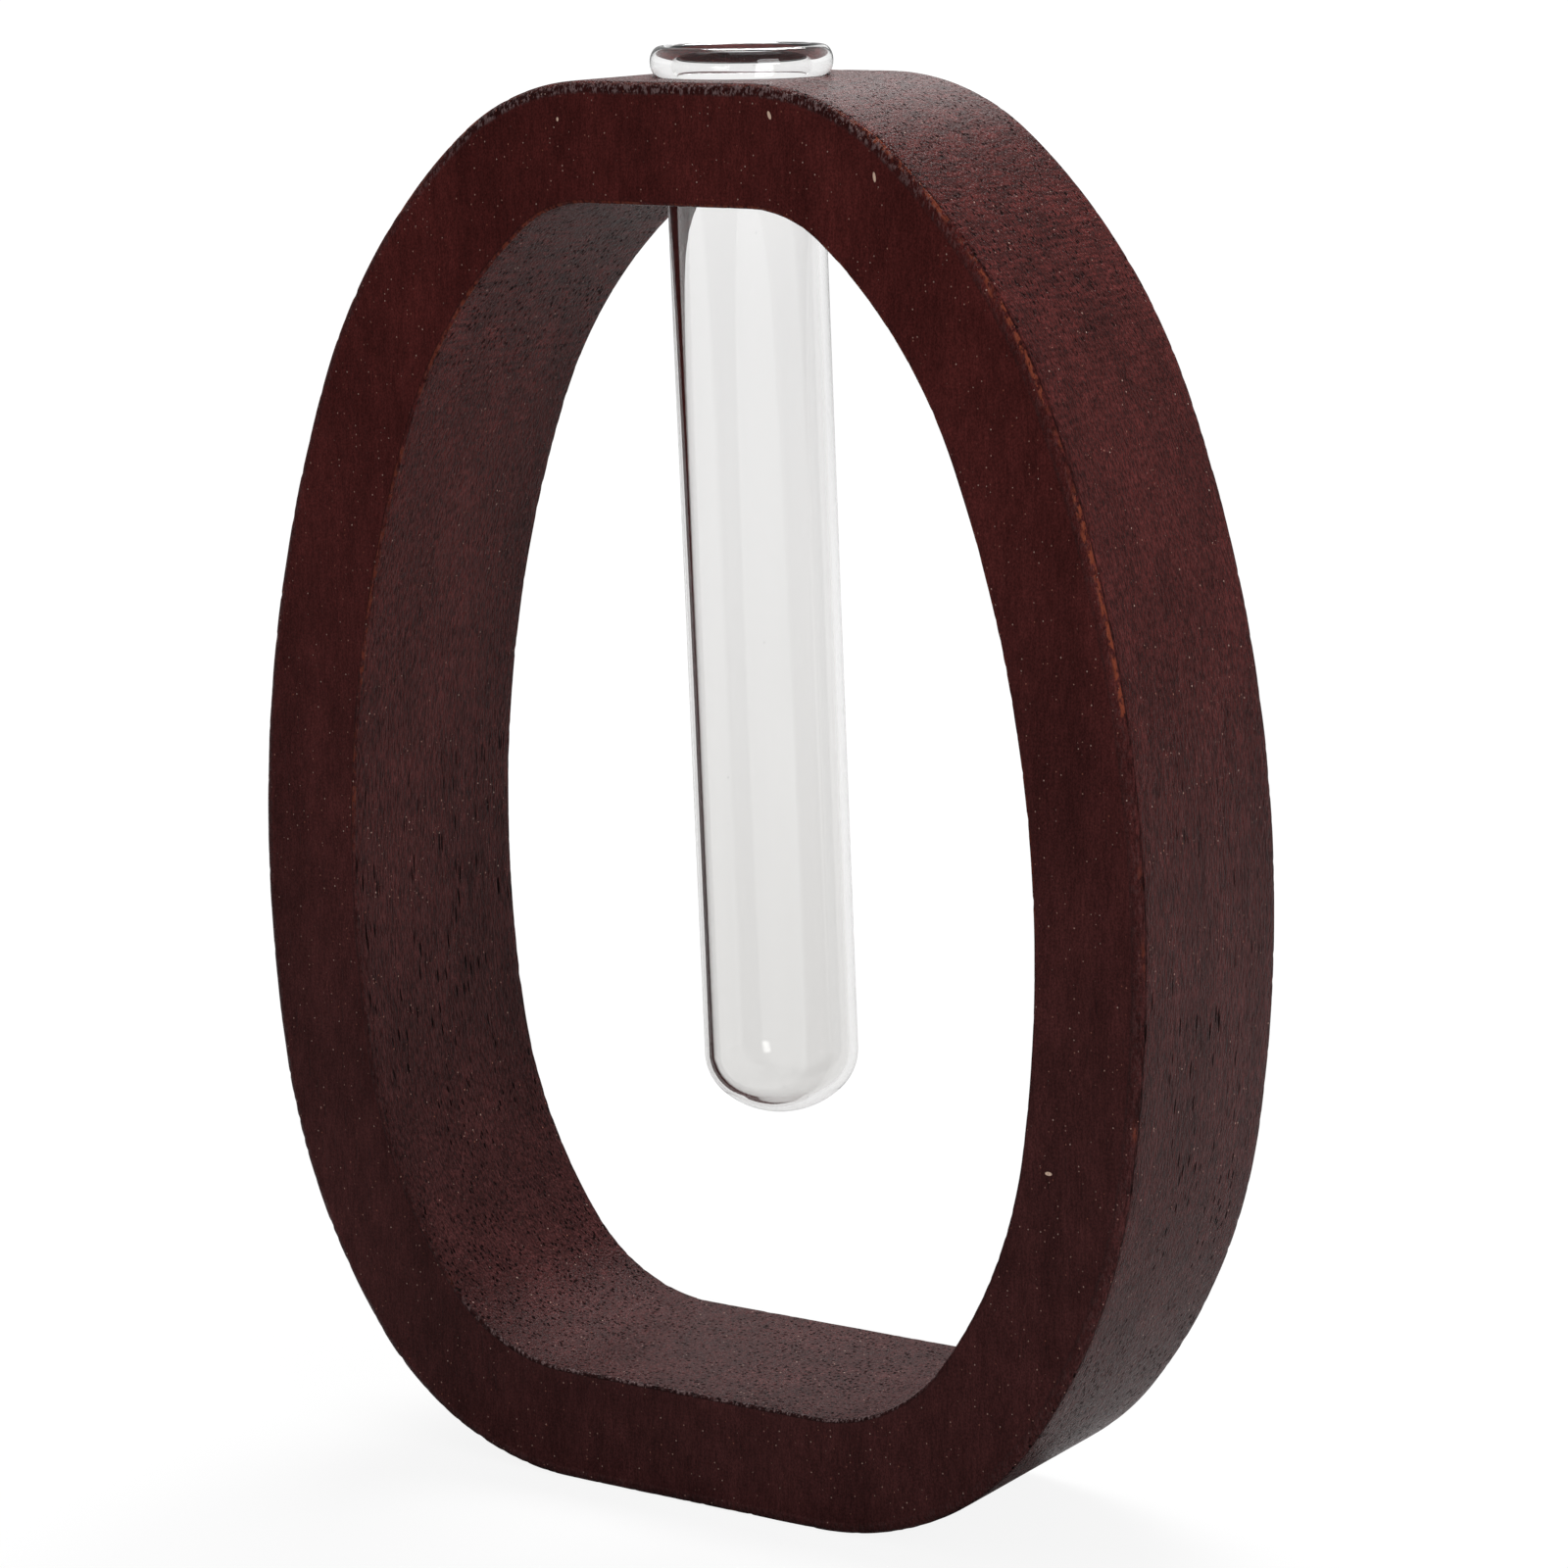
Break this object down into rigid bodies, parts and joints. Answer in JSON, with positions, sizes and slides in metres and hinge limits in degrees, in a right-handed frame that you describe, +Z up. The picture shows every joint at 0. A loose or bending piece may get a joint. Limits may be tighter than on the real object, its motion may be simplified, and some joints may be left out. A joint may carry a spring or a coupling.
{
  "type": "test tube vase",
  "caption": "Egg-shaped wooden ring on a flat foot, with a round-bottomed glass tube hung by its bead in a hole through the top, for a flower stem.",
  "frame": {"origin": "on the table, under the middle of the ring's foot", "axes": "+X across the ring, towards the side the tube's foot leans to; +Y through the ring's depth, from front to back; +Z up"},
  "size_m": [0.1466, 0.038, 0.2041],
  "materials": {
    "stained_wood": "dark red-brown stain under a thin satin coat, rubbed through to lighter brown on the edges",
    "clear_glass": "clear, colourless, fire-rounded at the mouth"
  },
  "bodies": {
    "frame": {"wooden_frame": "stained_wood"},
    "tube": {"test_tube": "clear_glass"}
  },
  "joints": [
    {"name": "tube_lift", "type": "slide", "parent": "frame", "child": "tube", "axis": [-0.0314, 0, 0.9995], "range_m": [0, 0.15]}
  ]
}
